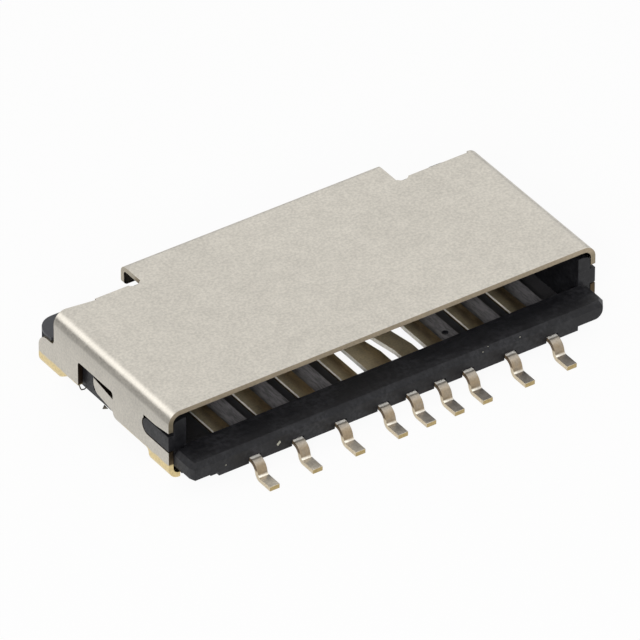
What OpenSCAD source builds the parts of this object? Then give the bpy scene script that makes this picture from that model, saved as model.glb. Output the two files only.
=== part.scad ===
// Low-profile surface-mount connector for a small memory card.
// A moulded housing carries eight formed spring contacts and one card-detect
// contact. A folded metal shell slides over it and is held by two lugs.
// X runs across the connector, Y from the leads towards the rear stop and Z up
// from the board. Depths are measured from the front edge of the shell.

/* [Shell] */
// Width over the side walls
shell_w = 11.05; // [10.8:0.05:12.5]
// Height from the board to the top of the shell
shell_h = 1.72; // [1.66:0.02:2.2]
// Thickness of the sheet
sheet_t = 0.12; // [0.1:0.01:0.14]
// Outside radius of the two bends along the top
top_bend_r = 0.30; // [0.24:0.02:0.34]
// Depth of the top plate, front edge to rear shoulders
top_d = 4.38; // [4.3:0.02:4.5]
// Width of the strip at the left rear corner that is cut back a little
corner_strip_w = 1.03; // [0.8:0.01:1.4]
// How far that strip is cut back where it meets the shoulder
corner_strip_cut = 0.05; // [0.02:0.01:0.1]

/* [Shell stop flap] */
// Width of the rear tab and its flap
tab_w = 6.66; // [5.5:0.01:7.4]
// Depth from the front edge to the flap's outer face
tab_reach = 5.15; // [4.95:0.02:5.3]
// Height of the flap, down from the top of the shell
flap_h = 0.50; // [0.36:0.01:0.6]
// Outside radius of the flap's bend
flap_bend_r = 0.20; // [0.16:0.01:0.24]
// Radius of the flap's lower corners
flap_corner_r = 0.10; // [0.05:0.01:0.15]
// Width of the relief slot at each side of the tab
relief_w = 0.34; // [0.2:0.02:0.4]
// Depth of the relief slot in front of the shoulder
relief_d = 0.08; // [0.05:0.01:0.15]

/* [Shell sides] */
// Depth of the lower part of each side wall
side_d = 5.04; // [4.95:0.01:5.1]
// How far the upper part of each side wall reaches behind the top plate
side_upper_over = 0.05; // [0.02:0.01:0.1]
// Height of the step between the lower and upper parts
side_step_z = 0.87; // [0.84:0.01:0.93]
// Corner radius at the rear of the lower part
side_corner_r = 0.34; // [0.2:0.01:0.4]
// Radius in the inner corner of the step
step_r = 0.13; // [0.08:0.01:0.16]
// Height of the side walls' lower edge above the board
side_edge_z = 0.37; // [0.34:0.01:0.42]
// Length of each front solder foot
foot_front_l = 0.77; // [0.6:0.01:0.85]
// Length of each rear solder foot where it leaves the side wall
foot_rear_l = 1.06; // [0.9:0.01:1.3]
// How much shorter the rear foot is at the board
foot_rear_slant = 0.50; // [0.3:0.01:0.6]
// Outside radius of the feet's bend
foot_bend_r = 0.27; // [0.22:0.01:0.28]
// Flat length of the feet past their bend
foot_flat = 0.02; // [0.01:0.01:0.03]
// Corner radius where the lower edge runs into a foot
foot_blend_r = 0.10; // [0.06:0.01:0.14]

/* [Shell notches and windows] */
// Depth of the front notch that takes the housing's lug
notch_d = 1.02; // [0.85:0.01:1.1]
// Height of the notch's lower edge
notch_low = 0.71; // [0.66:0.01:0.74]
// Height of the notch's upper edge
notch_high = 1.15; // [1.1:0.01:1.2]
// Rise of the notch's upper edge at its mouth
notch_flare = 0.07; // [0.03:0.01:0.1]
// Front end of the side window
window_front = 2.15; // [2.05:0.01:2.25]
// Length of the side window
window_l = 1.35; // [1.25:0.01:1.45]
// Height of the window's upper edge
window_top = 1.0; // [0.97:0.01:1.04]
// Corner radius of the window
window_r = 0.08; // [0.04:0.01:0.08]
// Length of the locking tongue
tongue_l = 0.90; // [0.8:0.01:0.95]
// Height of the tongue's lower edge
tongue_low = 0.50; // [0.47:0.01:0.54]
// Height of the tongue's upper edge
tongue_high = 0.82; // [0.79:0.01:0.86]
// How far the tongue's free end is bent in
tongue_in = 0.10; // [0.08:0.01:0.14]
// Corner radius at the tongue's free end
tongue_r = 0.22; // [0.1:0.01:0.25]

/* [Housing] */
// Thickness of the side walls beside the card
wall_t = 0.31; // [0.28:0.01:0.36]
// Space between the side walls' top and the shell's top plate
wall_clear = 0.12; // [0.08:0.01:0.16]
// Reach of the front beam ahead of the shell
beam_reach = 0.79; // [0.7:0.01:0.9]
// Height of the beam's underside
beam_low = 0.30; // [0.28:0.01:0.31]
// Height of the card's plane: top of beam and rear bar
card_z = 0.80; // [0.76:0.01:0.84]
// Depth of the chamfer along the beam's front top edge
beam_chamfer_y = 0.09; // [0.05:0.01:0.14]
// Height of the chamfer along the beam's front top edge
beam_chamfer_z = 0.12; // [0.08:0.01:0.16]
// Height of the underside at the beam's raised ends
beam_end_low = 0.41; // [0.36:0.01:0.44]
// Length of the beam's raised left end
beam_left_l = 0.75; // [0.5:0.05:0.9]
// Length of the beam's raised right end
beam_right_l = 1.0; // [0.8:0.05:1.1]
// Radius under the beam's right end
beam_right_r = 0.20; // [0.1:0.01:0.24]
// Gap between the beam's ends and the shell's front edge
beam_end_gap = 0.10; // [0.05:0.01:0.16]
// Inset of the beam's left end from the shell's outer face
beam_left_x = 0.09; // [0.06:0.01:0.2]
// Inset of the beam's right end from the shell's outer face
beam_right_x = 0.22; // [0.1:0.01:0.3]
// Width cut off the beam's front left corner
left_cut_x = 0.055; // [0.03:0.005:0.1]
// Length cut off the beam's front left corner
left_cut_y = 0.14; // [0.08:0.01:0.2]
// Width cut off the beam's front right corner
right_cut_x = 0.13; // [0.06:0.01:0.2]
// Length cut off the beam's front right corner
right_cut_y = 0.19; // [0.1:0.01:0.25]
// Height of the housing's underside
floor_low = 0.05; // [0.03:0.01:0.07]
// Height of the floor between the ribs
floor_top = 0.13; // [0.12:0.01:0.16]
// Height of the ribs between the contacts
rib_top = 0.27; // [0.22:0.01:0.29]
// Front face of the rear bar
rear_bar_front = 3.75; // [3.7:0.01:3.85]
// Front face of the rear stop wall
stop_front = 5.0; // [4.99:0.01:5.05]
// Thickness of the rear stop wall
stop_t = 0.27; // [0.22:0.01:0.32]
// Height of the rear stop wall
stop_top = 0.90; // [0.86:0.01:0.94]
// Height of the blocks at the stop wall's two ends
block_top = 0.97; // [0.95:0.01:1.0]
// Width of those blocks
block_w = 0.72; // [0.6:0.01:0.8]
// Inset of those blocks' outer faces from the shell's
block_inset = 0.03; // [0.02:0.01:0.08]
// Radius of the housing's upright rear corners
rear_corner_r = 0.45; // [0.25:0.01:0.5]
// Radius of the round mark on one rib
mark_r = 0.075; // [0.05:0.005:0.1]
// Depth of the round mark on one rib
mark_d = 0.06; // [0.03:0.01:0.08]

/* [Contacts] */
// Spacing of the contacts
pitch = 1.10; // [1.08:0.005:1.12]
// Thickness of the contact strip
strip_t = 0.11; // [0.09:0.005:0.12]
// Width of each contact strip
strip_w = 0.40; // [0.36:0.01:0.46]
// Height of the strips' upper face
strip_z = 0.42; // [0.41:0.005:0.44]
// Sideways offset of the strips from the pitch lines
strip_shift = -0.035; // [-0.05:0.005:0.05]
// Width of each solder lead
lead_w = 0.25; // [0.22:0.01:0.32]
// Reach of the leads ahead of the shell
lead_reach = 1.53; // [1.4:0.01:1.7]
// Sideways offset of the leads from the pitch lines
lead_shift = -0.002; // [-0.02:0.002:0.05]
// Depth of the leads' shoulder bend
lead_shoulder = 0.965; // [0.95:0.005:1.02]
// Forward lean of the leads between shoulder and heel
lead_lean = 0.08; // [0.03:0.005:0.09]
// Centre radius of the leads' shoulder bend
shoulder_r = 0.24; // [0.12:0.01:0.24]
// Centre radius of the leads' heel bend
heel_r = 0.12; // [0.09:0.01:0.13]
// Depth at which the springs leave the floor
spring_root = 1.50; // [1.45:0.01:1.6]
// Upward angle of the springs
spring_angle = 24; // [22:0.5:26]
// Downward angle of the springs' tips
tip_angle = 42; // [36:1:48]
// Free height of the contact points
contact_z = 1.06; // [1:0.01:1.1]
// Centre radius of the contact points
contact_r = 0.25; // [0.2:0.01:0.3]
// Length of the springs' tips past the contact point
tip_l = 0.34; // [0.28:0.01:0.36]
// Width of the springs at the contact point
point_w = 0.32; // [0.26:0.01:0.36]
// Width of the springs at the tip
tip_w = 0.24; // [0.18:0.01:0.26]

/* [Window contacts] */
// Width of contact 5 where it crosses the housing's window
fifth_w = 0.45; // [0.4:0.01:0.48]
// Sideways offset of that broad part from its lead
fifth_shift = 0.063; // [0.02:0.001:0.08]
// How far that part drifts to the left before the jog
fifth_drift = 0.115; // [0.08:0.005:0.13]
// Depth at which it starts to drift
fifth_drift_y = 0.70; // [0.5:0.05:0.9]
// Depth at which the jog to the pitch line starts
jog_start = 1.40; // [1.35:0.05:1.5]
// Depth at which the jog ends
jog_end = 2.20; // [2:0.05:2.4]
// Width of the detect contact's root in the window
detect_root_w = 0.64; // [0.6:0.01:0.7]
// Sideways offset of that root from its lead
detect_shift = 0; // [-0.02:0.005:0.04]
// How far the root's right side narrows before the arm
detect_taper = 0.09; // [0.05:0.01:0.12]
// Depth at which it starts to narrow
detect_taper_y = 0.85; // [0.7:0.05:1]
// Depth at which the narrow arm starts
detect_narrow_y = 1.90; // [1.8:0.05:2]
// Width of the detect contact's arm
detect_arm_w = 0.29; // [0.24:0.01:0.34]
// Depth at which the detect arm leaves the strip's plane
detect_root = 2.75; // [2.7:0.01:2.85]
// Upward angle of the detect arm
detect_angle = 20; // [18:0.5:22]
// Free height of the detect arm's nose
detect_z = 0.96; // [0.92:0.01:1]

/* [Clearances] */
// Gap between the shell and the housing
shell_gap = 0.02; // [0.01:0.005:0.03]
// Gap between the lugs and the notches in the shell
lug_gap = 0.03; // [0.02:0.005:0.04]
// Gap round the contacts where the housing grips them
grip_gap = 0.01; // [0.005:0.005:0.015]
// Gap between a strip and the rib on its right
rib_gap_right = 0.11; // [0.08:0.01:0.14]
// Gap between a strip and the rib on its left
rib_gap_left = 0.15; // [0.12:0.01:0.18]
// Space left of a lead in its notch in the beam
notch_left = 0.03; // [0.03:0.01:0.1]
// Space right of a lead in its notch in the beam
notch_right = 0.02; // [0.02:0.01:0.06]
// Space above a lead in its notch in the beam
notch_above = 0.04; // [0.03:0.01:0.14]
// Gap round the tongues in the housing's pockets
tongue_gap = 0.04; // [0.03:0.005:0.05]
// Space between contact 4 and the floor's window
window_gap = 0.16; // [0.12:0.01:0.18]
// Distance of the floor's window behind the beam
window_inset = 0.18; // [0.1:0.01:0.25]

/* [Hidden] */
$fn = 48;
eps = 0.01;

contact_count = 8;
arc_step = 9;

// Derived places, with Y counted from the shell's front edge
half_w = shell_w / 2;
wall_out = half_w - sheet_t - shell_gap;
wall_in = wall_out - wall_t;
wall_top = shell_h - sheet_t - wall_clear;
over_feet_z = side_edge_z - shell_gap;
side_upper_d = top_d + side_upper_over;
stop_back = stop_front + stop_t;
centre_y = (stop_back - lead_reach) / 2;
window_back = window_front + window_l;
strip_mid = strip_z - strip_t / 2;
foot_inner = foot_bend_r + foot_flat;
floor_x = half_w - foot_inner - 2 * shell_gap;
floor_mid = (floor_x + wall_in) / 2;
grip_front = -beam_reach / 2;
strip_start = grip_front + lead_w / 2;
// Step between the grips' front plane and the beam's root
root_step = 0.03;
big = 3 * shell_w;

// Pitch line, strip centre and lead centre of each of the contacts, from 1
function line_x(i) = (i - (contact_count + 1) / 2) * pitch;
function strip_x(i) = line_x(i) + strip_shift;
// The detect lead and the lead of contact 5 share the space between leads 4 and 6
lead_step = 2 * pitch / 3;
function lead_x(i) = (i == 5 ? line_x(4) + 2 * lead_step : line_x(i)) + lead_shift;
detect_lead_x = line_x(4) + lead_step + lead_shift;
// Centres of the detect contact's root and of its arm, which runs on along the root's left side
detect_root_x = detect_lead_x + detect_shift;
detect_arm_x = detect_root_x + (detect_arm_w - detect_root_w) / 2;

// Plan of the front beam, from its left rear corner round the front
beam_left = -half_w + beam_left_x;
beam_right = half_w - beam_right_x;
beam_points = [
  [beam_left, -beam_end_gap], [beam_left, -beam_reach + left_cut_y], [beam_left + left_cut_x, -beam_reach],
  [beam_right - right_cut_x, -beam_reach], [beam_right, -beam_reach + right_cut_y],
  [beam_right, -beam_end_gap]
];

// Unit vector and left-hand normal of a line
function unit(v) = v / norm(v);
function normal(a, b) = let (d = unit(b - a)) [-d[1], d[0]];

// Corner i of a path moved sideways by s, where its two lines still meet
function moved(p, i, s) =
  i == 0 ? p[0] + s * normal(p[0], p[1])
  : i == len(p) - 1 ? p[i] + s * normal(p[i - 1], p[i])
  : let (n0 = normal(p[i - 1], p[i]), n1 = normal(p[i], p[i + 1]))
    p[i] + s * (n0 + n1) / (1 + n0 * n1);

// Points of a round corner at b between a and c
function corner(a, b, c, r) =
  let (
    d0 = unit(b - a), d1 = unit(c - b),
    turn = atan2(d0[0] * d1[1] - d0[1] * d1[0], d0 * d1),
    side = sign(turn), cut = r * tan(abs(turn) / 2),
    start = b - cut * d0, hub = start + side * r * [-d0[1], d0[0]],
    from = atan2(start[1] - hub[1], start[0] - hub[0]),
    steps = max(2, ceil(abs(turn) / arc_step))
  )
  [for (k = [0:steps]) hub + r * [cos(from + turn * k / steps), sin(from + turn * k / steps)]];

// One face of a bent strip: the path moved by s, its bends kept concentric
function face(p, r, s) =
  let (q = [for (i = [0:len(p) - 1]) moved(p, i, s)])
  concat(
    [q[0]],
    [for (i = [1:len(p) - 2])
      let (
        turn = (p[i] - p[i - 1])[0] * (p[i + 1] - p[i])[1] - (p[i] - p[i - 1])[1] * (p[i + 1] - p[i])[0]
      )
      each corner(q[i - 1], q[i], q[i + 1], r[i - 1] - sign(turn) * s)],
    [q[len(q) - 1]]
  );

function reversed(p) = [for (i = [len(p) - 1:-1:0]) p[i]];

// Side view of a bent strip of thickness t along the path p with bend radii r
module strip_profile(p, r, t) {
  polygon(concat(face(p, r, t / 2), reversed(face(p, r, -t / 2))));
}

// Extrudes a side view (Y, Z) across the width w, centred
module across(w) {
  rotate([90, 0, 90]) linear_extrude(w, center = true) children();
}

// Extrudes a front view (X, Z) from depth y0 to y1
module along(y0, y1) {
  translate([0, y1, 0]) rotate([90, 0, 0]) linear_extrude(y1 - y0) children();
}

// Plain rectangle given by its corners
module rect(x0, y0, x1, y1) {
  polygon([[x0, y0], [x1, y0], [x1, y1], [x0, y1]]);
}

// Rectangle with four round corners
module round_rect(x0, y0, x1, y1, r) {
  rect(x0 + r, y0, x1 - r, y1);
  rect(x0, y0 + r, x1, y1 - r);
  for (x = [x0 + r, x1 - r], y = [y0 + r, y1 - r]) translate([x, y]) circle(r);
}

// Keeps a part and adds its mirror image on the other side
module both_sides() {
  children();
  mirror([1, 0, 0]) children();
}

// Folded section of the shell: top, two bends, side walls and feet turned in
module shell_section() {
  difference() {
    shell_section_block(0);
    shell_section_block(sheet_t);
    rect(-half_w + foot_inner, -eps, half_w - foot_inner, shell_h - sheet_t - top_bend_r);
  }
}

// Outline of the shell's section, moved in by i
module shell_section_block(i) {
  top_r = top_bend_r - i;
  foot_r = foot_bend_r - i;
  x = half_w - i;
  rect(-x + top_r, i, x - top_r, shell_h - i);
  rect(-x, foot_bend_r, x, shell_h - top_bend_r);
  for (s = [-1, 1]) {
    translate([s * (x - top_r), shell_h - top_bend_r]) circle(top_r);
    translate([s * (x - foot_r), foot_bend_r]) circle(foot_r);
  }
}

// Side view of one side wall with its feet, before the notch and window are cut
module side_wall_outline() {
  difference() {
    union() {
      rect(0, 0, side_upper_d, shell_h);
      rect(0, 0, side_d - side_corner_r, side_step_z);
      rect(0, 0, side_d, side_step_z - side_corner_r);
      translate([side_d - side_corner_r, side_step_z - side_corner_r]) circle(side_corner_r);
      difference() {
        rect(side_upper_d - eps, side_step_z - eps, side_upper_d + step_r, side_step_z + step_r);
        translate([side_upper_d + step_r, side_step_z + step_r]) circle(step_r);
      }
    }
    feet_gap();
  }
}

// Space between the two feet of a side, its rear end slanted
module feet_gap() {
  rear = side_d - foot_rear_l;
  bevel = foot_blend_r * (1 - cos(45));
  round_rect(foot_front_l, -side_edge_z, rear, side_edge_z, foot_blend_r);
  slant_end = rear + foot_rear_slant;
  polygon([
    [rear - foot_blend_r, -side_edge_z], [slant_end, -side_edge_z], [slant_end, 0],
    [rear - bevel, side_edge_z - bevel], [rear - foot_blend_r, side_edge_z - foot_blend_r]
  ]);
}

// Front notch for the lug: round rear end, mouth flared upwards
module notch_outline() {
  r = (notch_high - notch_low) / 2;
  mouth = notch_d / 2;
  translate([notch_d - r, notch_low + r]) circle(r);
  rect(notch_d - 2 * r, notch_high - r, notch_d - r / 2, notch_high);
  rect(notch_d - r, notch_high - r, notch_d - r / 4, notch_high);
  rect(-eps, notch_low, notch_d - r, notch_high);
  polygon([
    [-eps, notch_high - eps], [mouth, notch_high - eps], [mouth, notch_high],
    [0, notch_high + notch_flare], [-eps, notch_high + notch_flare]
  ]);
}

// Side window, open at the bottom, with a round corner in front of it
module window_outline() {
  r = window_r;
  edge_r = tongue_low - side_edge_z;
  rect(window_front, -eps, window_back, window_top - r);
  rect(window_front + r, window_top - 2 * r, window_back - r, window_top);
  for (y = [window_front + r, window_back - r]) translate([y, window_top - r]) circle(r);
  difference() {
    rect(window_front - edge_r, side_edge_z - eps, window_front + eps, tongue_low);
    translate([window_front - edge_r, tongue_low]) circle(edge_r);
  }
}

// Side view of the tongue, its lower corner at the free end rounded
module tongue_outline() {
  tip = window_front + tongue_l;
  difference() {
    rect(window_front - sheet_t, tongue_low, tip, tongue_high);
    difference() {
      rect(tip - tongue_r, tongue_low - eps, tip + eps, tongue_low + tongue_r);
      translate([tip - tongue_r, tongue_low + tongue_r]) circle(tongue_r);
    }
  }
}

// Left tongue: rooted at the front of the window, free end bent in
module tongue() {
  root = window_front - eps;
  tip = window_front + tongue_l;
  x = -half_w + tongue_in;
  intersection() {
    linear_extrude(shell_h)
      polygon([[-half_w, root], [x, tip], [x + sheet_t, tip], [-half_w + sheet_t, root]]);
    across(shell_w) tongue_outline();
  }
}

// Plan of the top plate with its corner strip, tab and relief slots
module top_outline() {
  tab_x = tab_w / 2;
  cut_y = top_d - relief_d;
  difference() {
    union() {
      polygon([
        [-half_w, 0], [half_w, 0], [half_w, side_upper_d], [half_w - top_bend_r, side_upper_d],
        [half_w - top_bend_r, top_d], [-half_w + corner_strip_w, top_d],
        [-half_w + corner_strip_w, top_d - corner_strip_cut], [-half_w + top_bend_r, side_upper_d],
        [-half_w, side_upper_d]
      ]);
      rect(-tab_x, 0, tab_x, tab_reach + eps);
    }
    for (s = [-1, 1]) translate([s * (tab_x + relief_w / 2), cut_y + relief_w / 2]) {
      circle(relief_w / 2);
      translate([-relief_w / 2, 0]) square([relief_w, top_d]);
    }
  }
}

// Side view of the tab: top plate bent down into the stop flap
module flap_profile() {
  mid = shell_h - sheet_t / 2;
  y = tab_reach - sheet_t / 2;
  strip_profile(
    [[top_d - top_bend_r, mid], [y, mid], [y, shell_h - flap_h]], [flap_bend_r - sheet_t / 2], sheet_t
  );
}

module shell() {
  color([0.78, 0.76, 0.72])
  union() {
    intersection() {
      along(0, side_d) shell_section();
      difference() {
        across(big) side_wall_outline();
        both_sides() translate([-half_w, 0, 0]) across(2 * foot_inner) notch_outline();
        both_sides() translate([-half_w, 0, 0]) across(2 * foot_inner) window_outline();
      }
      union() {
        linear_extrude(shell_h + eps) top_outline();
        translate([0, 0, -eps]) linear_extrude(shell_h - top_bend_r + eps) rect(-half_w, 0, half_w, side_d);
      }
    }
    intersection() {
      across(tab_w) flap_profile();
      union() {
        linear_extrude(shell_h) rect(-half_w, 0, half_w, tab_reach - sheet_t - eps);
        along(0, tab_reach + eps)
          round_rect(-tab_w / 2, shell_h - flap_h, tab_w / 2, shell_h + flap_h, flap_corner_r);
      }
      linear_extrude(shell_h + eps) top_outline();
    }
    both_sides() tongue();
  }
}

// Side view of the housing's floor and rear bar
module floor_profile() {
  polygon([
    [0, floor_low], [0, floor_top], [rear_bar_front, floor_top], [rear_bar_front, card_z],
    [stop_front + eps, card_z], [stop_front + eps, floor_low]
  ]);
}

// Front beam with a chamfer round its top edge and raised ends
module beam() {
  x0 = -half_w + beam_left_l;
  x1 = half_w - beam_right_l;
  round_x = beam_right - right_cut_x - beam_right_r;
  round_z = beam_end_low + beam_right_r;
  difference() {
    translate([0, 0, beam_low]) linear_extrude(card_z - beam_low) polygon(beam_points);
    for (k = [0:len(beam_points) - 2]) edge_chamfer(beam_points[k], beam_points[k + 1]);
    along(-beam_reach - eps, 0) {
      rect(-half_w, 0, x0, beam_end_low);
      rect(x1, 0, half_w, beam_end_low);
      difference() {
        rect(round_x, beam_end_low - eps, half_w, round_z);
        translate([round_x, round_z]) circle(beam_right_r);
      }
    }
  }
  // Root of the beam, down to the floor in the middle and up to the walls at the ends
  along(grip_front - root_step, eps) rect(x0 + root_step, floor_low, x1 - root_step, beam_low + root_step);
  along(-beam_end_gap - eps, eps) {
    rect(x0, beam_low, x1, card_z - eps);
    rect(-floor_mid, round_z, floor_mid, card_z - eps);
  }
}

// Cutter for the chamfer along the top edge from a to b, the beam on its left
module edge_chamfer(a, b) {
  y = beam_chamfer_y;
  z = beam_chamfer_z;
  d = b - a;
  translate([a[0], a[1], card_z]) rotate([0, 0, atan2(d[1], d[0])])
    rotate([90, 0, 90]) translate([0, 0, -big]) linear_extrude(2 * big)
      polygon([[-y, -2 * z], [2 * y, z], [-y, z]]);
}

// Front view of one side wall, stepped in under the shell's bend and over its feet
module wall_section() {
  lip = top_bend_r - sheet_t;
  polygon([
    [-wall_out, over_feet_z], [-wall_out, shell_h - top_bend_r - shell_gap],
    [-wall_out + lip / 3, wall_top - lip / 6], [-wall_out + lip, wall_top], [-wall_in, wall_top],
    [-wall_in, floor_low], [-floor_x, floor_low], [-floor_x, over_feet_z]
  ]);
}

// Lug that fills the notch at the front of the shell's side
module lug_outline() {
  r = (notch_high - notch_low) / 2 - lug_gap;
  translate([notch_d - lug_gap - r, notch_low + lug_gap + r]) circle(r);
  rect(0, notch_low + lug_gap, notch_d - lug_gap - r, notch_high - lug_gap);
}

// Corner blocks behind the side walls, clear of the shell's lower rear corners and feet
module rear_corners() {
  x = -half_w + block_w;
  walls_back = side_upper_d - 2 * lug_gap;
  over_step_y = side_upper_d + step_r + shell_gap;
  intersection() {
    both_sides() {
      along(walls_back, stop_back + eps) rect(-wall_out, over_feet_z, x, block_top);
      along(walls_back, stop_back + eps) rect(-floor_x, floor_low, x, block_top);
      along(over_step_y, stop_back + eps) rect(-half_w, side_step_z + shell_gap, x, block_top);
      along(side_d + shell_gap, stop_back + eps) rect(-half_w, floor_low, x, block_top);
    }
    linear_extrude(shell_h) rear_plan();
  }
}

// Plan of the housing's rear end with its round corners
module rear_plan() {
  r = rear_corner_r;
  x = half_w - block_inset;
  rect(-x, 0, x, stop_back - r);
  rect(-x + r, 0, x - r, stop_back);
  for (s = [-1, 1]) translate([s * (x - r), stop_back - r]) circle(r);
}

// Plan of the through window under the detect contact and contacts 5 and 6
module floor_window() {
  x0 = strip_x(4) + strip_w / 2 + window_gap;
  x1 = strip_x(6) + strip_w / 2;
  rect(x0, window_inset, x1, rear_bar_front - window_inset);
}

// Room for one lead where it leaves the beam
module lead_notch(x) {
  along(-beam_reach - eps, grip_front)
    rect(x - lead_w / 2 - notch_left, beam_low - eps, x + lead_w / 2 + notch_right, strip_z + notch_above);
}

module housing() {
  color([0.16, 0.16, 0.17])
  difference() {
    union() {
      across(2 * floor_mid) floor_profile();
      across(2 * (half_w - block_w + eps)) rect(stop_front, floor_low, stop_back, stop_top);
      beam();
      both_sides() along(0, side_upper_d - lug_gap) wall_section();
      rear_corners();
      both_sides() translate([-half_w, 0, 0]) lug();
      ribs();
    }
    both_sides() tongue_pocket();
    translate([0, 0, -eps]) linear_extrude(rib_top + 2 * eps) floor_window();
    for (i = [1:contact_count]) {
      lead_notch(lead_x(i));
      contact_form(i, grip_gap);
    }
    lead_notch(detect_lead_x);
    detect_form(grip_gap);
    detect_pocket();
    translate([strip_x(6) + pitch / 2 + (rib_gap_right - rib_gap_left) / 2, card_z, rib_top - mark_d])
      cylinder(h = mark_d + eps, r = mark_r);
  }
}

module lug() {
  translate([wall_root() / 2, 0, 0]) across(wall_root()) lug_outline();
}

// How far a lug runs in from the shell's outer face
function wall_root() = sheet_t + shell_gap + (wall_out - wall_in) / 2;

// Ribs between the contacts, joined to the floor and the rear bar
module ribs() {
  for (i = [1, 2, 3, 6, 7, 8]) {
    x0 = strip_x(i) + strip_w / 2 + rib_gap_right;
    x1 = strip_x(i + 1) - strip_w / 2 - rib_gap_left;
    along(-eps, rear_bar_front + eps) rect(x0, floor_low, x1, rib_top);
  }
}

// Pocket in the side wall that the shell's tongue snaps into
module tongue_pocket() {
  g = tongue_gap;
  x = -half_w + sheet_t + tongue_in + 2 * g;
  along(window_front - g, window_front + tongue_l + g) rect(-half_w, tongue_low - g, x, tongue_high + g);
}

// Slot in the rear bar for the detect arm's nose
module detect_pocket() {
  w = detect_arm_w / 2 + rib_gap_right;
  along(rear_bar_front - eps, stop_front - sheet_t)
    rect(detect_arm_x - w, floor_top, detect_arm_x + w, card_z + eps);
}

// Height of the sharp corner whose round top reaches z
function crest_corner(z, up, down, r) =
  z - strip_t / 2 - r + r * (cos(up) + cos(down)) / (1 + cos(up + down));

// Centre line of a lead and its spring, from the foot's tip to the spring's tip
function spring_path(root, up, down, z) =
  let (
    top = crest_corner(z, up, down, contact_r),
    y = root + (top - strip_mid) / tan(up),
    reach = tip_l / cos(down)
  )
  [
    [-lead_reach, strip_t / 2],
    [-lead_shoulder - lead_lean, strip_t / 2],
    [-lead_shoulder, strip_mid],
    [root, strip_mid],
    [y, top],
    [y + tip_l, top - tip_l * tan(down)]
  ];

// Bend radii along that line
spring_bends = [heel_r, shoulder_r, 4 * contact_r, contact_r];

// One side of the plan of contact i, from its foot to its tip: s is -1 or 1
function contact_side(i, s, g) =
  let (
    path = spring_path(spring_root, spring_angle, tip_angle, contact_z),
    xl = lead_x(i), xs = strip_x(i)
  )
  concat(
    [for (y = [-lead_reach - g, grip_front]) [xl + s * (lead_w / 2 + g), y]],
    i == 5 ? fifth_side(s, g) : [[xs + s * (strip_w / 2 + g), strip_start]],
    [
      [xs + s * (strip_w / 2 + g), jog_end], [xs + s * (point_w / 2 + g), path[4][0]],
      [xs + s * (tip_w / 2 + g), path[5][0] + g]
    ]
  );

// One side of the broad part of contact 5
function fifth_side(s, g) =
  let (x = lead_x(5) + fifth_shift + s * (fifth_w / 2 + g))
  [[x, strip_start], [x, fifth_drift_y], [x - fifth_drift, jog_start]];

// Solid of contact i, grown by g on every side
module contact_form(i, g) {
  path = spring_path(spring_root, spring_angle, tip_angle, contact_z);
  intersection() {
    across(big) strip_profile(path, spring_bends, strip_t + 2 * g);
    translate([0, 0, -shell_h]) linear_extrude(3 * shell_h)
      polygon(concat(contact_side(i, -1, g), reversed(contact_side(i, 1, g))));
  }
}

// Plan of the detect contact: broad root, then a slim arm along its left side
module detect_plan(g) {
  tip = spring_path(detect_root, detect_angle, tip_angle, detect_z)[5][0] + g;
  lead_l = detect_lead_x - lead_w / 2 - g;
  lead_r = detect_lead_x + lead_w / 2 + g;
  root_l = detect_root_x - detect_root_w / 2 - g;
  root_r = detect_root_x + detect_root_w / 2 + g;
  arm_r = detect_arm_x + detect_arm_w / 2 + g;
  polygon([
    [lead_l, -lead_reach - g], [lead_l, grip_front], [root_l, strip_start], [root_l, tip], [arm_r, tip],
    [arm_r, detect_narrow_y], [root_r - detect_taper, jog_start], [root_r, detect_taper_y],
    [root_r, strip_start], [lead_r, grip_front], [lead_r, -lead_reach - g]
  ]);
}

// Solid of the detect contact, grown by g on every side
module detect_form(g) {
  path = spring_path(detect_root, detect_angle, tip_angle, detect_z);
  intersection() {
    across(big) strip_profile(path, spring_bends, strip_t + 2 * g);
    translate([0, 0, -shell_h]) linear_extrude(3 * shell_h) detect_plan(g);
  }
}

module contact(i) {
  color([0.80, 0.74, 0.62]) contact_form(i, 0);
}

module detect_contact() {
  color([0.82, 0.76, 0.64]) detect_form(0);
}

translate([0, -centre_y, 0]) {
  housing();
  shell();
  detect_contact();
  contact(1);  // contact_1
  contact(2);  // contact_2
  contact(3);  // contact_3
  contact(4);  // contact_4
  contact(5);  // contact_5
  contact(6);  // contact_6
  contact(7);  // contact_7
  contact(8);  // contact_8
}
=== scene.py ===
import math

import bmesh
import bpy
from mathutils import Matrix, Vector
from mathutils.bvhtree import BVHTree


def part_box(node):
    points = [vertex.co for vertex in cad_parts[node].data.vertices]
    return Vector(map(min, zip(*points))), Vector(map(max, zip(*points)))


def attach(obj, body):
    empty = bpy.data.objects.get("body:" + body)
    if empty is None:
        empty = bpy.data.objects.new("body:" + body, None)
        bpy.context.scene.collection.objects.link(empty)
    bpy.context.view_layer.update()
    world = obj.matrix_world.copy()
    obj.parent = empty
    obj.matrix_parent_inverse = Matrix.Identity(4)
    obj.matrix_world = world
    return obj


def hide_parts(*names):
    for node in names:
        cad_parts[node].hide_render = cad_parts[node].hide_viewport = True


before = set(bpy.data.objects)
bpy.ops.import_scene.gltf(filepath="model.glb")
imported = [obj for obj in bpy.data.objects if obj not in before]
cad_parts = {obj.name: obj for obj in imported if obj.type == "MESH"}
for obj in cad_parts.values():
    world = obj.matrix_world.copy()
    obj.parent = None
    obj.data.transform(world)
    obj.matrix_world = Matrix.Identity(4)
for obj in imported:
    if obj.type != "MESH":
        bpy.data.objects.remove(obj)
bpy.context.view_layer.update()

mm = 0.001
print("frame loaded:", len(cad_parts), "pieces")


# Small helpers for shader trees
def newMaterial(name):
    material = bpy.data.materials.new(name)
    material.use_nodes = True
    return material, material.node_tree, material.node_tree.nodes["Principled BSDF"]


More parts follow.
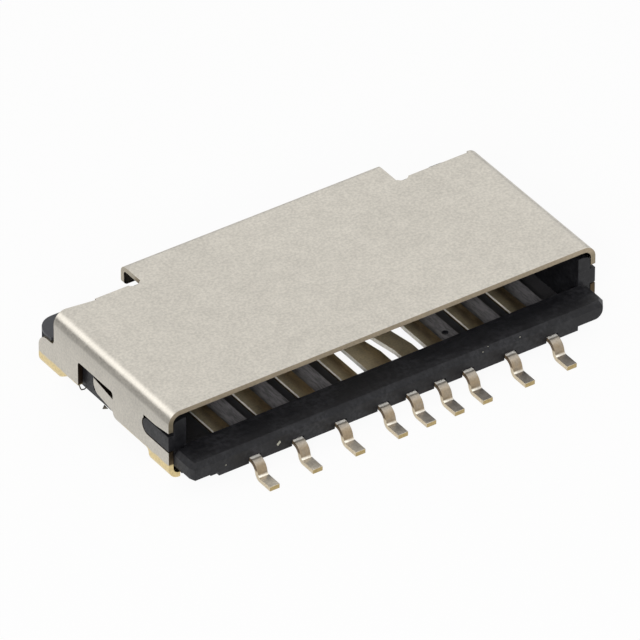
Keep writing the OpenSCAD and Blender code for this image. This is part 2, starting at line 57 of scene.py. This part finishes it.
def addNode(tree, kind, **settings):
    node = tree.nodes.new(kind)
    for key, value in settings.items():
        setattr(node, key, value)
    return node


def link(tree, fromSocket, toSocket):
    tree.links.new(fromSocket, toSocket)


def linear(red, green, blue):  # a colour picked on screen, 0 to 255, as the shader wants it
    def straight(value):
        value /= 255
        return value / 12.92 if value <= 0.04045 else ((value + 0.055) / 1.055) ** 2.4
    return straight(red), straight(green), straight(blue), 1


# Place on the part in millimetres, so that every texture scale below is per millimetre
def placeInMm(tree, stretch=(1, 1, 1)):
    place = addNode(tree, "ShaderNodeTexCoord")
    scaled = addNode(tree, "ShaderNodeVectorMath", operation="MULTIPLY")
    scaled.inputs[1].default_value = [1000 * s for s in stretch]
    link(tree, place.outputs["Object"], scaled.inputs[0])
    return scaled.outputs[0]


def noise(tree, place, scale, detail=3, roughness=0.55):
    node = addNode(tree, "ShaderNodeTexNoise")
    node.inputs["Scale"].default_value = scale
    node.inputs["Detail"].default_value = detail
    node.inputs["Roughness"].default_value = roughness
    link(tree, place, node.inputs["Vector"])
    return node.outputs["Fac"]


def spread(tree, value, fromLow, fromHigh, toLow, toHigh):  # a soft step from one range to another
    node = addNode(tree, "ShaderNodeMapRange", interpolation_type="SMOOTHSTEP")
    numbers = {"From Min": fromLow, "From Max": fromHigh, "To Min": toLow, "To Max": toHigh}
    for key, number in numbers.items():
        node.inputs[key].default_value = number
    link(tree, value, node.inputs["Value"])
    return node.outputs["Result"]


def varied(tree, pattern, toLow, toHigh, edge=0.3):  # the same for a noise, from edge to 1 - edge
    return spread(tree, pattern, edge, 1 - edge, toLow, toHigh)


def maths(tree, operation, first, second=0):
    node = addNode(tree, "ShaderNodeMath", operation=operation)
    for socket, value in zip(node.inputs, (first, second)):
        if isinstance(value, (int, float)):
            socket.default_value = value
        else:
            link(tree, value, socket)
    return node.outputs[0]


def plus(tree, first, second):
    return maths(tree, "ADD", first, second)


def times(tree, first, second):
    return maths(tree, "MULTIPLY", first, second)


# Soft masks: 1 where a value lies above, below or between limits, blurred by so much on both sides
def above(tree, value, limit, blur):
    return spread(tree, value, limit - blur, limit + blur, 0, 1)


def below(tree, value, limit, blur):
    return spread(tree, value, limit - blur, limit + blur, 1, 0)


def within(tree, value, low, high, blur):
    return times(tree, above(tree, value, low, blur), below(tree, value, high, blur))


def blendColours(tree, amount, first, second, blendType="MIX"):
    node = addNode(tree, "ShaderNodeMix", data_type="RGBA", blend_type=blendType)
    for socket, value in ((node.inputs[0], amount), (node.inputs[6], first), (node.inputs[7], second)):
        if isinstance(value, (int, float, tuple)):
            socket.default_value = value
        else:
            link(tree, value, socket)
    return node.outputs[2]


def cutFaceMark(tree):
    node = addNode(tree, "ShaderNodeAttribute", attribute_name="cutFace")
    return node.outputs["Fac"]


def splitAxes(tree, vector):
    node = addNode(tree, "ShaderNodeSeparateXYZ")
    link(tree, vector, node.inputs[0])
    return node.outputs


def facingAxes(tree):  # the direction that a surface looks in
    return splitAxes(tree, addNode(tree, "ShaderNodeNewGeometry").outputs["Normal"])


def setColour(tree, shader, colour, level):  # a colour made lighter and darker by the grain
    shaded = addNode(tree, "ShaderNodeVectorMath", operation="SCALE")
    link(tree, colour, shaded.inputs[0])
    link(tree, level, shaded.inputs["Scale"])
    link(tree, shaded.outputs[0], shader.inputs["Base Color"])


def addBumps(tree, shader, layers):
    last = None
    for height, distance in layers:
        bump = addNode(tree, "ShaderNodeBump")
        bump.inputs["Strength"].default_value = 1
        bump.inputs["Distance"].default_value = distance * mm
        link(tree, height, bump.inputs["Height"])
        if last:
            link(tree, last, bump.inputs["Normal"])
        last = bump.outputs["Normal"]
    link(tree, last, shader.inputs["Normal"])


# Shell plating: satin nickel, gold on the solder feet, bare brown metal where the sheet was cut, with
# painted shade on the cut edges round the window, the tongue and the front notches.
# In the three looks a zone is its limit or two limits in mm, or in parts of a facing, and then its blur.
shellLook = {
    "face": linear(203, 198, 188),
    "cut": linear(149, 138, 117),
    "cutHigh": linear(173, 160, 139),       # the top plate's front edge
    "highAbove": (1.525, 0.075),
    "cutRear": linear(196, 188, 172),       # the stop flap's ends
    "rearBehind": (2.72, 0.05),
    "deepCut": linear(58, 46, 36),          # painted shade on the cut edges round the window and the tongue
    "windowAlong": (0.2, 1.72, 0.02), "windowBelow": (1.07, 0.03),
    "notchCut": linear(88, 75, 56),         # painted shade on the cut edges round the front notches
    "notchBefore": (-0.83, 0.01), "notchBelow": (1.2, 0.03),
    "gold": linear(231, 211, 160),
    "goldBelow": (0.37, 0.03),              # the plating line on the feet, which wavers by so much
    "goldWaver": 0.02,
    "roughness": (0.31, 0.41), "cutRougher": 0.15,
    "grainPerMm": 17, "mottlePerMm": 2.2, "driftPerMm": 0.35,
    "grainShades": (0.87, 1.11), "mottleShades": (-0.035, 0.03), "driftShades": (-0.02, 0.02),
    "grainDepth": 0.0006, "mottleDepth": 0.0012,
}


def shellMaterial(look):
    material, tree, shader = newMaterial("satinNickel")
    place = placeInMm(tree)
    grain = noise(tree, place, look["grainPerMm"], detail=2, roughness=0.6)
    mottle = noise(tree, place, look["mottlePerMm"], detail=4)
    drift = noise(tree, place, look["driftPerMm"], detail=2)
    along, height = splitAxes(tree, place)[1:]
    cut = cutFaceMark(tree)

    goldLine = plus(tree, height, varied(tree, mottle, -look["goldWaver"], look["goldWaver"]))
    gold = below(tree, goldLine, *look["goldBelow"])
    edge = blendColours(tree, above(tree, height, *look["highAbove"]), look["cut"], look["cutHigh"])
    edge = blendColours(tree, above(tree, along, *look["rearBehind"]), edge, look["cutRear"])
    # painted shade on the cut edges round the window and the tongue
    window = times(tree, within(tree, along, *look["windowAlong"]),
                   below(tree, height, *look["windowBelow"]))
    edge = blendColours(tree, window, edge, look["deepCut"])
    # painted shade on the cut edges round the front notches
    notch = times(tree, below(tree, along, *look["notchBefore"]), below(tree, height, *look["notchBelow"]))
    edge = blendColours(tree, notch, edge, look["notchCut"])
    colour = blendColours(tree, cut, look["face"], edge)
    colour = blendColours(tree, gold, colour, look["gold"])

    broad = plus(tree, varied(tree, mottle, *look["mottleShades"]),
                 varied(tree, drift, *look["driftShades"]))
    fine = varied(tree, grain, *look["grainShades"], edge=0.25)
    setColour(tree, shader, colour, plus(tree, fine, broad))
    shader.inputs["Metallic"].default_value = 1
    rough = varied(tree, grain, *look["roughness"])
    link(tree, plus(tree, rough, times(tree, cut, look["cutRougher"])), shader.inputs["Roughness"])
    addBumps(tree, shader, [(grain, look["grainDepth"]), (mottle, look["mottleDepth"])])
    return material


# Contact strips: silver-tan plate on the leads, gold-brown inside, brown where they were sheared, with
# painted highlights and painted shade
contactLook = {
    "lead": linear(162, 154, 142),
    "leg": linear(156, 139, 115),           # painted shade on the upright part of a lead, in clouds
    "legFacing": (-0.6, 0.25), "legCloud": (0.3, 0.6, 0.55, 1),
    "foot": linear(232, 224, 208), "footFar": linear(158, 152, 144),    # its flat foot, left and right
    "footAcross": (-3.9, 1.5), "footBelow": (0.145, 0.015),
    "footDepth": 0.2,                       # this much of its front end tells where the lead begins in X
    "heel": linear(250, 244, 230),          # painted highlight on the inner bend above the foot
    "heelWidth": 0.17, "heelFar": 0.35,     # how soon it fades to the right, and to what share
    "heelBelow": (0.195, 0.045), "heelFacing": (-0.85, -0.25, 0.12),
    "bright": linear(250, 246, 238),        # painted highlight on the top of the shoulder, where it leaves the beam
    "brightAlong": (-2.69, -2.5, 0.03),
    "inside": linear(194, 172, 134), "insideDark": linear(140, 120, 94),
    "insideBehind": (-2.45, 0.2),
    "end": linear(182, 162, 116),           # sheared faces that look forward
    "endFacing": (-0.6, 0.2),
    "flank": linear(222, 208, 182),         # sheared faces that look sideways, painted lighter as lit
    "flankHigh": linear(112, 94, 72),       # the same in the beam's shade
    "flankAbove": (0.22, 0.03),
    "rolled": linear(246, 242, 232),        # painted highlight on the strips' rounded left flanks behind the beam
    "rolledFacing": (-0.55, 0.2), "rolledBlur": 0.01,
    "lit": linear(214, 200, 168),           # their left sides, which catch light from the slot
    "litFacing": (0.7, 0.2),
    "metallic": 0.88,
    "roughness": (0.28, 0.37), "cutRougher": 0.14,
    "grainPerMm": 24, "cloudPerMm": 5, "stainPerMm": 1.7, "stainStretch": (2.2, 0.6, 1),
    "grainShades": (0.88, 1.1), "cloudShades": (-0.06, 0.05),
    "grainDepth": 0.0002,
}


# The light on a strip: width from its left edge and strength, and the height from which its flank is lit.
# The strips to the right of an opening catch more.
stripLight = {
    "usual": (0.3, 0.2, 0.365),
    "contact_5": (1.8, 0.3, 0.11),
    "contact_6": (0.3, 0.2, 0.11),
    "detect_contact": (0.6, 0.36, 0.11),
}


def contactMaterial(name, look, light, stripLeft, leadLeft):
    litWidth, litShare, litFrom = light
    material, tree, shader = newMaterial(name)
    place = placeInMm(tree)
    grain = noise(tree, place, look["grainPerMm"], detail=2, roughness=0.5)
    cloud = noise(tree, place, look["cloudPerMm"])
    streaks = noise(tree, placeInMm(tree, look["stainStretch"]), look["stainPerMm"], detail=4)
    across, along, height = splitAxes(tree, place)
    sideways, forwards, upwards = facingAxes(tree)
    inside = above(tree, along, *look["insideBehind"])
    cut = cutFaceMark(tree)

    foot = blendColours(tree, spread(tree, across, *look["footAcross"], 0, 1), look["foot"], look["footFar"])
    colour = blendColours(tree, below(tree, height, *look["footBelow"]), look["lead"], foot)
    # painted shade on the upright parts that look forward
    leg = times(tree, below(tree, forwards, *look["legFacing"]), spread(tree, cloud, *look["legCloud"]))
    colour = blendColours(tree, leg, colour, look["leg"])
    # painted highlight on the inner bend above the foot, strongest at its left
    heel = times(tree, spread(tree, across, leadLeft, leadLeft + look["heelWidth"], 1, look["heelFar"]),
                 below(tree, height, *look["heelBelow"]))
    heel = times(tree, within(tree, forwards, *look["heelFacing"]), heel)
    colour = blendColours(tree, heel, colour, look["heel"])
    # painted highlight on the top of the shoulder
    bright = within(tree, along, *look["brightAlong"])
    colour = blendColours(tree, bright, colour, look["bright"])
    stained = blendColours(tree, varied(tree, streaks, 0, 1, 0.35), look["insideDark"], look["inside"])
    colour = blendColours(tree, inside, colour, stained)

    # painted light on the sideways sheared faces, and painted shade on them high up in the beam's shade
    flank = blendColours(tree, above(tree, height, *look["flankAbove"]), look["flank"], look["flankHigh"])
    sheared = blendColours(tree, below(tree, forwards, *look["endFacing"]), flank, look["end"])
    colour = blendColours(tree, cut, colour, sheared)
    # painted highlight on the strips' left flanks, above the height from which they are lit
    rolled = times(tree, inside, above(tree, height, litFrom, look["rolledBlur"]))
    rolled = times(tree, below(tree, sideways, *look["rolledFacing"]), rolled)
    colour = blendColours(tree, rolled, colour, look["rolled"])
    lit = times(tree, inside, above(tree, upwards, *look["litFacing"]))
    lit = times(tree, lit, spread(tree, across, stripLeft, stripLeft + litWidth, 1, 0))
    colour = blendColours(tree, lit, colour, look["lit"])

    fine = varied(tree, grain, *look["grainShades"], edge=0.25)
    setColour(tree, shader, colour, plus(tree, fine, varied(tree, cloud, *look["cloudShades"])))
    # metal turned to plain colour where highlights and light are painted
    paintedLightShare = maths(tree, "MAXIMUM", maths(tree, "MAXIMUM", rolled, bright), times(tree, lit, litShare))
    link(tree, times(tree, look["metallic"], maths(tree, "SUBTRACT", 1, paintedLightShare)), shader.inputs["Metallic"])
    rough = varied(tree, cloud, *look["roughness"])
    link(tree, plus(tree, rough, times(tree, cut, look["cutRougher"])), shader.inputs["Roughness"])
    addBumps(tree, shader, [(grain, look["grainDepth"])])
    return material


# Housing: black glass-filled resin, slightly sheened, with flow marks, rib tops painted grey as lit with
# scuff streaks, and painted light on the floor and the rear corners
housingLook = {
    "dark": linear(15, 15, 18), "light": linear(46, 46, 49),
    "cloudSpread": (0.35, 0.7, 0.2, 1),     # how the light patches are spread
    "floor": linear(66, 65, 67),            # painted light on the floor between the ribs
    "floorBelow": (0.21, 0.01),
    "rear": linear(72, 73, 77), "rearShare": 0.8,       # painted sheen on the rear bar's outer corners
    "rearOutside": (4.9, 0.2), "rearBehind": (2.55, 0.1),
    # rib tops painted grey as lit, varied by scuff streaks
    "ribTop": linear(134, 132, 134), "ribDark": linear(98, 96, 98),
    "ribHeights": (0.23, 0.3, 0.01), "ribReach": (-1.95, 1.9, 0.02), "ribScuffs": (0.32, 0.62, 0, 1),
    "upFacing": (0.75, 0.15),
    "roughness": (0.34, 0.5), "flowRoughness": (-0.04, 0.06),
    "specular": 0.32,
    "grainPerMm": 24, "specklePerMm": 11, "cloudPerMm": 1.6,
    "flowPerMm": 2.4, "flowStretch": (0.35, 4, 5),
    "scuffPerMm": 1.8, "scuffStretch": (13, 2.2, 1),
    "grainDepth": 0.0012, "speckleDepth": 0.0022, "flowDepth": 0.0012,
}


def housingMaterial(look):
    material, tree, shader = newMaterial("blackResin")
    place = placeInMm(tree)
    grain = noise(tree, place, look["grainPerMm"], roughness=0.65)
    cloud = noise(tree, place, look["cloudPerMm"], detail=4)
    flow = noise(tree, placeInMm(tree, look["flowStretch"]), look["flowPerMm"], detail=4)
    speckle = noise(tree, place, look["specklePerMm"], roughness=0.6)
    scuff = noise(tree, placeInMm(tree, look["scuffStretch"]), look["scuffPerMm"], detail=5, roughness=0.65)
    across, along, height = splitAxes(tree, place)
    facingUp = above(tree, facingAxes(tree)[2], *look["upFacing"])

    patches = times(tree, spread(tree, cloud, *look["cloudSpread"]), varied(tree, speckle, 0, 1))
    colour = blendColours(tree, patches, look["dark"], look["light"])
    # painted light on the floor between the ribs
    low = times(tree, below(tree, height, *look["floorBelow"]), facingUp)
    colour = blendColours(tree, low, colour, look["floor"])
    # painted sheen on the rear bar's outer corners
    corner = times(tree, above(tree, maths(tree, "ABSOLUTE", across), *look["rearOutside"]),
                   above(tree, along, *look["rearBehind"]))
    colour = blendColours(tree, times(tree, corner, look["rearShare"]), colour, look["rear"])
    # painted light on the up-facing rib tops, varied by scuff streaks
    onRib = times(tree, within(tree, height, *look["ribHeights"]), within(tree, along, *look["ribReach"]))
    rib = blendColours(tree, spread(tree, scuff, *look["ribScuffs"]), look["ribDark"], look["ribTop"])
    colour = blendColours(tree, times(tree, onRib, facingUp), colour, rib)

    link(tree, colour, shader.inputs["Base Color"])
    rough = plus(tree, varied(tree, grain, *look["roughness"]), varied(tree, flow, *look["flowRoughness"]))
    link(tree, rough, shader.inputs["Roughness"])
    shader.inputs["Specular IOR Level"].default_value = look["specular"]
    bumps = [(grain, look["grainDepth"]), (speckle, look["speckleDepth"]), (flow, look["flowDepth"])]
    addBumps(tree, shader, bumps)
    return material


finishing = {
    "weld": 0.001,          # mm
    "flatAngle": 0.4,       # degrees: faces that meet more flatly are one face
    "hardAngle": 28,        # degrees: edges that turn more sharply are eased
    "easingSteps": 2,
    "shearedDepth": 1.35,   # sheets of metal behind a face, from which it counts as sheared
}


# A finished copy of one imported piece: welded, flat faces joined into one, hard edges eased (sizes in mm)
def finishedCopy(nodeName, pieceName, easing, sheet=None):
    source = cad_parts[nodeName]
    shape = bmesh.new()
    shape.from_mesh(source.data)
    shape.transform(source.matrix_world)
    bmesh.ops.remove_doubles(shape, verts=shape.verts, dist=finishing["weld"] * mm)
    if sheet:
        markCutFaces(shape, sheet * mm)
    flat, sharp = math.radians(finishing["flatAngle"]), math.radians(finishing["hardAngle"])
    bmesh.ops.dissolve_limit(shape, angle_limit=flat, verts=shape.verts, edges=shape.edges)
    hard = [edge for edge in shape.edges if len(edge.link_faces) == 2 and edge.calc_face_angle(0) > sharp]
    bmesh.ops.bevel(shape, geom=hard, offset=easing * mm, offset_type="OFFSET", affect="EDGES",
                    segments=finishing["easingSteps"], profile=0.5, clamp_overlap=True)
    for face in shape.faces:
        face.smooth = True
    mesh = bpy.data.meshes.new(pieceName)
    shape.to_mesh(mesh)
    shape.free()
    evenNormals(mesh)
    piece = bpy.data.objects.new(pieceName, mesh)
    bpy.context.scene.collection.objects.link(piece)
    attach(piece, "root")
    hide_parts(nodeName)
    return piece


# Normals weighted by area, so that broad faces stay flat and the eased edges take the turn
def evenNormals(mesh):
    sums = [Vector() for vertex in mesh.vertices]
    for face in mesh.polygons:
        for index in face.vertices:
            sums[index] += face.normal * (face.area / mm ** 2)
    mesh.normals_split_custom_set_from_vertices([total.normalized() for total in sums])


# A face with far more metal behind it than the sheet's thickness is a sheared one
def markCutFaces(shape, thickness):
    cut = shape.faces.layers.float.new("cutFace")
    inside = BVHTree.FromBMesh(shape)
    for face in shape.faces:
        start = face.calc_center_median() - face.normal * mm * 0.0001
        depth = inside.ray_cast(start, -face.normal)[3]
        sheared = depth is None or depth > finishing["shearedDepth"] * thickness
        face[cut] = 1.0 if sheared else 0.0


shell = finishedCopy("shell", "shellSkin", easing=0.016, sheet=0.12)
shell.data.materials.append(shellMaterial(shellLook))
print("shell done:", len(shell.data.polygons), "faces")

housing = finishedCopy("housing", "housingMoulding", easing=0.02)
housing.data.materials.append(housingMaterial(housingLook))
print("housing done:", len(housing.data.polygons), "faces")

for nodeName in sorted(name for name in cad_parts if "contact" in name):
    pieceName = nodeName.replace("_", "")
    strip = finishedCopy(nodeName, pieceName + "Strip", easing=0.012, sheet=0.11)
    stripLeft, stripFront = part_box(nodeName)[0][:2]
    footBack = stripFront + contactLook["footDepth"] * mm
    leadLeft = min(vertex.co.x for vertex in strip.data.vertices if vertex.co.y < footBack)
    light = stripLight.get(nodeName, stripLight["usual"])
    plate = contactMaterial(pieceName + "Plate", contactLook, light, stripLeft / mm, leadLeft / mm)
    strip.data.materials.append(plate)
print("contacts done")

# Dust on the part, in mm: a curled fibre and a flake at the left window, specks on the beam's front
dust = {
    "fibre": [(-5.49, 1.64, 0.365), (-5.46, 1.62, 0.23), (-5.35, 1.708, 0.155), (-5.27, 1.76, 0.09),
              (-5.21, 1.79, 0.11)],
    "fibreRadius": 0.014,
    "flake": [(-5.212, 1.085, 0.062), (-5.3, 1.025, 0.03), (-5.222, 0.93, 0.062)],
    "flakeThickness": 0.02,
    "sliver": [(-3.285, 0.485), (-3.26, 0.515), (-3.235, 0.54), (-3.21, 0.548)],    # X and Z on that front
    "sliverRadius": 0.03, "sliverSunk": 1 / 3,      # radii that its middle lies behind that front
    "specks": [(-4.598, 0.508, 0.014), (2.991, 0.756, 0.014), (2.023, 0.754, 0.011), (2.153, 0.847, 0.011)],
    "speckShape": (1.3, 0.6, 0.8),      # a speck's width, depth and height in radii
    "grey": linear(92, 86, 76), "pale": linear(158, 156, 142),
    "cloudPerMm": 18, "cloudDepth": 0.002, "paler": 1.25, "roughness": 0.7,
}


def dustMaterial(name, colour, look):
    material, tree, shader = newMaterial(name)
    cloud = noise(tree, placeInMm(tree), look["cloudPerMm"])
    paler = tuple(min(1, look["paler"] * part) for part in colour[:3]) + (1,)
    mixed = blendColours(tree, varied(tree, cloud, 0, 1, 0.35), colour, paler)
    link(tree, mixed, shader.inputs["Base Color"])
    shader.inputs["Roughness"].default_value = look["roughness"]
    addBumps(tree, shader, [(cloud, look["cloudDepth"])])
    return material


def strand(points, radius):
    path = bpy.data.curves.new("strand", "CURVE")
    path.dimensions = "3D"
    path.bevel_depth = radius * mm
    path.bevel_resolution = 3
    path.use_fill_caps = True
    spline = path.splines.new("NURBS")
    spline.points.add(len(points) - 1)
    for point, place in zip(spline.points, points):
        point.co = (*(value * mm for value in place), 1)
    spline.order_u = 3
    spline.use_endpoint_u = True
    holder = bpy.data.objects.new("strand", path)
    mesh = bpy.data.meshes.new_from_object(holder)
    bpy.data.objects.remove(holder)
    bpy.data.curves.remove(path)
    return mesh


def dustPiece(name, mesh, material):
    mesh.materials.clear()
    mesh.materials.append(material)
    for face in mesh.polygons:
        face.use_smooth = True
    piece = bpy.data.objects.new(name, mesh)
    bpy.context.scene.collection.objects.link(piece)
    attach(piece, "root")


def addDust(setup):
    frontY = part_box("housing")[0][1] / mm
    grey = dustMaterial("greyDust", setup["grey"], setup)
    pale = dustMaterial("paleDust", setup["pale"], setup)
    dustPiece("curledFibre", strand(setup["fibre"], setup["fibreRadius"]), grey)
    sliverY = frontY + setup["sliverRadius"] * setup["sliverSunk"]
    sliver = [(x, sliverY, z) for x, z in setup["sliver"]]
    dustPiece("paleSliver", strand(sliver, setup["sliverRadius"]), pale)

    flake = bmesh.new()
    corners = [Vector(corner) * mm for corner in setup["flake"]]
    lift = (corners[1] - corners[0]).cross(corners[2] - corners[0]).normalized()
    lift *= setup["flakeThickness"] * mm / 2
    upper = [flake.verts.new(corner + lift) for corner in corners]
    lower = [flake.verts.new(corner - lift) for corner in corners]
    flake.faces.new(upper)
    flake.faces.new(reversed(lower))
    for k in range(3):
        flake.faces.new((upper[k], lower[k], lower[(k + 1) % 3], upper[(k + 1) % 3]))
    bmesh.ops.recalc_face_normals(flake, faces=flake.faces)
    flakeMesh = bpy.data.meshes.new("flake")
    flake.to_mesh(flakeMesh)
    flake.free()
    dustPiece("greyFlake", flakeMesh, grey)

    specks = bmesh.new()
    for x, z, radius in setup["specks"]:
        place = Matrix.Translation(Vector((x, frontY, z)) * mm) @ Matrix.Diagonal((*setup["speckShape"], 1))
        bmesh.ops.create_icosphere(specks, subdivisions=2, radius=radius * mm, matrix=place)
    speckMesh = bpy.data.meshes.new("specks")
    specks.to_mesh(speckMesh)
    specks.free()
    dustPiece("beamSpecks", speckMesh, pale)


addDust(dust)
print("dust done")

# Camera, fitted to the photograph
photoCamera = {
    "azimuth": -34.366, "elevation": 35.849, "roll": 0.103,   # degrees
    "distance": 234.09, "target": (-0.025, 0.13, 0.8),        # mm
    "lens": 613.23, "sensor": 36, "shift": (-0.01623, -0.0022),
    "near": 0.01, "far": 10,                                  # metres
}


def addCamera(setup):
    azimuth, elevation, roll = (math.radians(setup[key]) for key in ("azimuth", "elevation", "roll"))
    back = Vector((math.sin(azimuth) * math.cos(elevation), -math.cos(azimuth) * math.cos(elevation),
                   math.sin(elevation)))
    level = Vector((math.cos(azimuth), math.sin(azimuth), 0))
    upright = back.cross(level)
    right = level * math.cos(roll) + upright * math.sin(roll)
    up = upright * math.cos(roll) - level * math.sin(roll)
    eye = Vector(setup["target"]) * mm + back * setup["distance"] * mm
    camera = bpy.data.objects.new("photoCamera", bpy.data.cameras.new("photoCamera"))
    bpy.context.scene.collection.objects.link(camera)
    turn = Matrix((right, up, back)).transposed().to_4x4()
    camera.matrix_world = Matrix.Translation(eye) @ turn
    camera.data.sensor_width = setup["sensor"]
    camera.data.lens = setup["lens"]
    camera.data.shift_x, camera.data.shift_y = setup["shift"]
    camera.data.clip_start, camera.data.clip_end = setup["near"], setup["far"]
    bpy.context.scene.camera = camera


addCamera(photoCamera)
print("camera set")

# Studio in metres: pale floor, white surround, soft lamps behind on the left and above, a small one in front
studio = {
    "floorSize": 0.9, "floorColour": (0.9, 0.9, 0.89, 1), "floorRoughness": 0.9, "floorSpecular": 0.1,
    "floorWhite": 0.94, "floorMirrored": 0.75,      # how far the camera, and the metal, see it plain white
    "fill": 0.35,
    "lamps": [
        {"name": "softLampLeft", "direction": (-0.497, 0.669, 0.552), "distance": 0.30, "size": 0.17,
         "power": 0.1, "mirrored": True},
        {"name": "softLampTop", "direction": (0.46, -0.05, 0.88), "distance": 0.30, "size": 0.3,
         "power": 0.15, "mirrored": True},
        {"name": "frontLamp", "direction": (-0.62, -0.62, 0.48), "distance": 0.12, "size": 0.05,
         "power": 0.085, "mirrored": False},
    ],
    "cardSteps": 16,
    "cards": [      # from and to in degrees round a centre in X, and the radius and height of both edges
        {"name": "darkCard", "from": 100, "to": 176, "edges": ((0.3, -0.002), (0.3, 0.09)), "colour": 0.62},
        {"name": "floorCard", "from": 100, "to": 182.5, "edges": ((0.6, 0.0002), (0.3, 0.0002)),
         "centre": 0.2929, "colour": 0.52},
        {"name": "greyCard", "from": 30, "to": 78, "edges": ((0.3, -0.002), (0.3, 0.05)), "colour": 0.62},
        {"name": "ceilingCard", "from": 0, "to": 360, "edges": ((0.15, 0.32), (0.001, 0.32)),
         "colour": 0.75},
    ],
}


# How far a ray is shown plain white: what the camera sees, then what metal and glass see
def shownWhite(tree, direct, mirrored):
    path = addNode(tree, "ShaderNodeLightPath")
    inMetal = maths(tree, "MAXIMUM", path.outputs["Is Glossy Ray"], path.outputs["Is Transmission Ray"])
    seen = times(tree, path.outputs["Is Camera Ray"], direct)
    return maths(tree, "MAXIMUM", seen, times(tree, inMetal, mirrored))


# A curved card that only shows in the metal
def addCard(setup, steps):
    arc = bmesh.new()
    start, sweep, centre = setup["from"], setup["to"] - setup["from"], setup.get("centre", 0)
    turns = [math.radians(start + sweep * k / steps) for k in range(steps + 1)]
    rows = [[arc.verts.new((centre + radius * math.cos(turn), radius * math.sin(turn), z)) for turn in turns]
            for radius, z in setup["edges"]]
    for k in range(steps):
        arc.faces.new((rows[0][k], rows[0][k + 1], rows[1][k + 1], rows[1][k]))
    mesh = bpy.data.meshes.new(setup["name"])
    arc.to_mesh(mesh)
    arc.free()
    material, tree, shader = newMaterial(setup["name"])
    shader.inputs["Base Color"].default_value = (setup["colour"],) * 3 + (1,)
    mesh.materials.append(material)
    card = bpy.data.objects.new(setup["name"], mesh)
    card.visible_camera = card.visible_diffuse = card.visible_shadow = card.visible_transmission = False
    return card


def addStudio(setup):
    world = bpy.data.worlds.new("studioWorld")
    bpy.context.scene.world = world
    world.use_nodes = True
    tree = world.node_tree
    tree.nodes.clear()
    fill = addNode(tree, "ShaderNodeBackground")
    fill.inputs["Strength"].default_value = setup["fill"]
    white = addNode(tree, "ShaderNodeBackground")
    for background in (fill, white):
        background.inputs["Color"].default_value = (1, 1, 1, 1)
    either = addNode(tree, "ShaderNodeMixShader")
    link(tree, shownWhite(tree, 1, 1), either.inputs[0])
    link(tree, fill.outputs[0], either.inputs[1])
    link(tree, white.outputs[0], either.inputs[2])
    link(tree, either.outputs[0], addNode(tree, "ShaderNodeOutputWorld").inputs["Surface"])

    half = setup["floorSize"] / 2
    floorMesh = bpy.data.meshes.new("floor")
    corners = [(-half, -half, 0), (half, -half, 0), (half, half, 0), (-half, half, 0)]
    floorMesh.from_pydata(corners, [], [(0, 1, 2, 3)])
    floor = bpy.data.objects.new("floor", floorMesh)
    material, tree, shader = newMaterial("palePaper")
    shader.inputs["Base Color"].default_value = setup["floorColour"]
    shader.inputs["Roughness"].default_value = setup["floorRoughness"]
    shader.inputs["Specular IOR Level"].default_value = setup["floorSpecular"]
    glow = addNode(tree, "ShaderNodeEmission")
    glow.inputs["Color"].default_value = (1, 1, 1, 1)
    either = addNode(tree, "ShaderNodeMixShader")
    link(tree, shownWhite(tree, setup["floorWhite"], setup["floorMirrored"]), either.inputs[0])
    link(tree, shader.outputs[0], either.inputs[1])
    link(tree, glow.outputs[0], either.inputs[2])
    link(tree, either.outputs[0], tree.nodes["Material Output"].inputs["Surface"])
    floorMesh.materials.append(material)

    for thing in [floor] + [addCard(card, setup["cardSteps"]) for card in setup["cards"]]:
        bpy.context.scene.collection.objects.link(thing)

    for lamp in setup["lamps"]:
        light = bpy.data.lights.new(lamp["name"], "AREA")
        light.shape = "SQUARE"
        light.size = lamp["size"]
        light.energy = lamp["power"]
        holder = bpy.data.objects.new(lamp["name"], light)
        direction = Vector(lamp["direction"]).normalized()
        holder.location = direction * lamp["distance"]
        holder.rotation_euler = direction.to_track_quat("Z", "Y").to_euler()
        holder.visible_glossy = lamp["mirrored"]
        bpy.context.scene.collection.objects.link(holder)


addStudio(studio)
bpy.context.scene.view_settings.view_transform = "Standard"
print("studio set")
